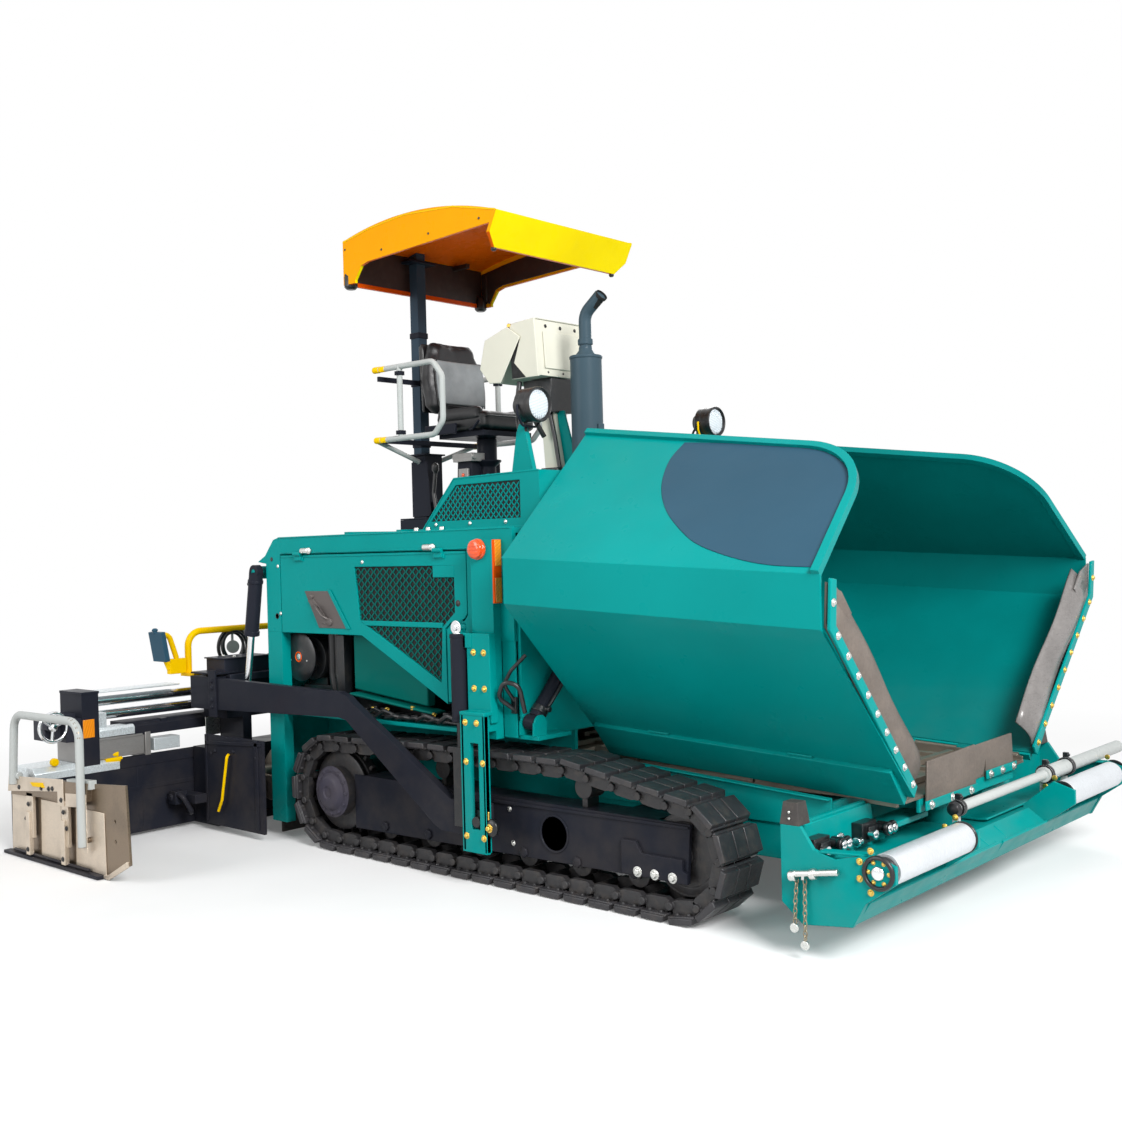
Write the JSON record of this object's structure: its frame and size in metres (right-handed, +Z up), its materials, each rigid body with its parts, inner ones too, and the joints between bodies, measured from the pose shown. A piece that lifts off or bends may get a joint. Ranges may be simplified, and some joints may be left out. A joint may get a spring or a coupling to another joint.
{
  "type": "tracked asphalt paver",
  "caption": "Tracked asphalt paver with folding hopper wings, oscillating push beam, sliding operator's station under a roof, and a towed extending screed.",
  "frame": {"origin": "on the ground, midway between the foremost and rearmost points and on the machine's middle plane", "axes": "+X forward to the hopper, +Y to the machine's left, +Z up"},
  "size_m": [4.8, 4.64, 3.515],
  "materials": {
    "teal_paint": "satin",
    "dark_paint": "satin",
    "track_steel": "matte",
    "bare_steel": "worn",
    "chrome": "polished",
    "rubber": "matte",
    "canopy_yellow": "gloss",
    "safety_yellow": "gloss",
    "seat_vinyl": "satin",
    "white_paint": "satin",
    "lamp_black": "gloss",
    "orange_lens": "gloss",
    "roller_metal": "satin",
    "tube_silver": "satin"
  },
  "bodies": {
    "tractor": {"chassis": "teal_paint", "deck": "teal_paint", "rear_frame": "teal_paint", "track_frames": "dark_paint", "track_right": "track_steel", "track_left": "track_steel", "running_gear": "track_steel", "hopper_floor": "bare_steel", "hopper_apron": "rubber", "conveyors": "bare_steel", "engine": "dark_paint", "tanks": "dark_paint", "hood": "teal_paint", "grille_box": "teal_paint", "exhaust": "dark_paint", "work_lamps": "lamp_black", "marker_lamps": "orange_lens", "mud_flaps": "rubber", "guide_columns": "teal_paint", "levelling_barrels": "dark_paint", "auger_carrier": "dark_paint", "console": "white_paint"},
    "tow_points": {"tow_points": "bare_steel"},
    "screed": {"tow_arms": "dark_paint", "screed_body": "dark_paint", "screed_rail": "safety_yellow"},
    "push_beam": {"push_beam": "teal_paint", "beam_stops": "rubber", "sight_bar": "tube_silver"},
    "station": {"station_frame": "dark_paint", "canopy_mast": "dark_paint", "canopy": "canopy_yellow", "seat": "seat_vinyl", "seat_guard": "tube_silver"},
    "console_cover": {"console_cover": "white_paint"},
    "wing_right": {"wing_right": "teal_paint", "wing_skirt_right": "rubber"},
    "wing_barrel_right": {"wing_barrel_right": "dark_paint"},
    "wing_rod_right": {"wing_rod_right": "chrome"},
    "screed_lift_barrel_right": {"screed_lift_barrel_right": "dark_paint"},
    "screed_lift_rod_right": {"screed_lift_rod_right": "chrome"},
    "auger_right": {"auger_right": "bare_steel"},
    "push_roller_right": {"push_roller_right": "roller_metal"},
    "hood_door_right": {"hood_door_right": "teal_paint"},
    "extension_right": {"screed_extension_right": "dark_paint", "extension_tubes_right": "chrome", "end_plate_right": "bare_steel"},
    "wing_left": {"wing_left": "teal_paint", "wing_skirt_left": "rubber"},
    "wing_barrel_left": {"wing_barrel_left": "dark_paint"},
    "wing_rod_left": {"wing_rod_left": "chrome"},
    "screed_lift_barrel_left": {"screed_lift_barrel_left": "dark_paint"},
    "screed_lift_rod_left": {"screed_lift_rod_left": "chrome"},
    "auger_left": {"auger_left": "bare_steel"},
    "push_roller_left": {"push_roller_left": "roller_metal"},
    "hood_door_left": {"hood_door_left": "teal_paint"},
    "extension_left": {"screed_extension_left": "dark_paint", "extension_tubes_left": "chrome", "end_plate_left": "bare_steel"}
  },
  "joints": [
    {"name": "tow_point_lift", "type": "slide", "parent": "tractor", "child": "tow_points", "axis": [0, 0, 1], "range_m": [0, 0.11]},
    {"name": "screed_lift", "type": "hinge", "parent": "tow_points", "child": "screed", "pos_m": [0.29, 0, 0.32], "axis": [0, 1, 0], "range_deg": [0, 8]},
    {"name": "push_beam_yaw", "type": "hinge", "parent": "tractor", "child": "push_beam", "pos_m": [1.975, 0, 0.38], "axis": [0, 0, 1], "range_deg": [-3, 3]},
    {"name": "station_slide", "type": "slide", "parent": "tractor", "child": "station", "axis": [0, 1, 0], "range_m": [-0.35, 0.35]},
    {"name": "console_cover_hinge", "type": "hinge", "parent": "tractor", "child": "console_cover", "pos_m": [-0.238, -0.22, 2.806], "axis": [0, 1, 0], "range_deg": [0, 95]},
    {"name": "wing_right_fold", "type": "hinge", "parent": "tractor", "child": "wing_right", "pos_m": [0.565, -0.632, 0.6], "axis": [0.9987, 0, -0.0509], "range_deg": [-18, 28]},
    {"name": "wing_barrel_right_swing", "type": "hinge", "parent": "tractor", "child": "wing_barrel_right", "pos_m": [0.48901, -1.1, 0.7791], "axis": [0.9987, 0, -0.0509], "range_deg": [-15, 23]},
    {"name": "wing_rod_right_stroke", "type": "slide", "parent": "wing_barrel_right", "child": "wing_rod_right", "axis": [0.0385, 0.6542, 0.7554], "range_m": [-0.235, 0.152]},
    {"name": "screed_lift_barrel_right_swing", "type": "hinge", "parent": "tractor", "child": "screed_lift_barrel_right", "pos_m": [-1.58, -1.166, 1.5], "axis": [0, 1, 0], "range_deg": [-6, 0]},
    {"name": "screed_lift_rod_right_stroke", "type": "slide", "parent": "screed_lift_barrel_right", "child": "screed_lift_rod_right", "axis": [-0.169, 0, -0.9856], "range_m": [-0.285, 0]},
    {"name": "extension_right_slide", "type": "slide", "parent": "screed", "child": "extension_right", "axis": [0, 1, 0], "range_m": [0, 0.775]},
    {"name": "auger_right_spin", "type": "hinge", "parent": "tractor", "child": "auger_right", "pos_m": [-1.7, -0.5, 0.33], "axis": [0, 1, 0], "continuous": true},
    {"name": "push_roller_right_spin", "type": "hinge", "parent": "push_beam", "child": "push_roller_right", "pos_m": [2.333, -0.8, 0.375], "axis": [0, 1, 0], "continuous": true},
    {"name": "hood_door_right_hinge", "type": "hinge", "parent": "tractor", "child": "hood_door_right", "pos_m": [-0.6, -1.1623, 1.596], "axis": [-1, 0, 0], "range_deg": [0, 80]},
    {"name": "wing_left_fold", "type": "hinge", "parent": "tractor", "child": "wing_left", "pos_m": [0.565, 0.632, 0.6], "axis": [-0.9987, 0, 0.0509], "range_deg": [-18, 28]},
    {"name": "wing_barrel_left_swing", "type": "hinge", "parent": "tractor", "child": "wing_barrel_left", "pos_m": [0.48901, 1.1, 0.7791], "axis": [-0.9987, 0, 0.0509], "range_deg": [-15, 23]},
    {"name": "wing_rod_left_stroke", "type": "slide", "parent": "wing_barrel_left", "child": "wing_rod_left", "axis": [0.0385, -0.6542, 0.7554], "range_m": [-0.235, 0.152]},
    {"name": "screed_lift_barrel_left_swing", "type": "hinge", "parent": "tractor", "child": "screed_lift_barrel_left", "pos_m": [-1.58, 1.166, 1.5], "axis": [0, 1, 0], "range_deg": [-6, 0]},
    {"name": "screed_lift_rod_left_stroke", "type": "slide", "parent": "screed_lift_barrel_left", "child": "screed_lift_rod_left", "axis": [-0.169, 0, -0.9856], "range_m": [-0.285, 0]},
    {"name": "extension_left_slide", "type": "slide", "parent": "screed", "child": "extension_left", "axis": [0, -1, 0], "range_m": [0, 0.775]},
    {"name": "auger_left_spin", "type": "hinge", "parent": "tractor", "child": "auger_left", "pos_m": [-1.7, 0.5, 0.33], "axis": [0, 1, 0], "continuous": true},
    {"name": "push_roller_left_spin", "type": "hinge", "parent": "push_beam", "child": "push_roller_left", "pos_m": [2.333, 0.8, 0.375], "axis": [0, 1, 0], "continuous": true},
    {"name": "hood_door_left_hinge", "type": "hinge", "parent": "tractor", "child": "hood_door_left", "pos_m": [-0.6, 1.1623, 1.596], "axis": [1, 0, 0], "range_deg": [0, 80]}
  ],
  "couplings": [
    {"joint": "wing_barrel_right_swing", "follows": "wing_right_fold", "ratio": 0.8},
    {"joint": "wing_rod_right_stroke", "follows": "wing_right_fold", "m_per_rad": -0.4698},
    {"joint": "screed_lift_barrel_right_swing", "follows": "screed_lift", "ratio": -0.6},
    {"joint": "screed_lift_rod_right_stroke", "follows": "screed_lift", "m_per_rad": -2.0139},
    {"joint": "wing_barrel_left_swing", "follows": "wing_left_fold", "ratio": 0.8},
    {"joint": "wing_rod_left_stroke", "follows": "wing_left_fold", "m_per_rad": -0.4698},
    {"joint": "screed_lift_barrel_left_swing", "follows": "screed_lift", "ratio": -0.6},
    {"joint": "screed_lift_rod_left_stroke", "follows": "screed_lift", "m_per_rad": -2.0139}
  ]
}
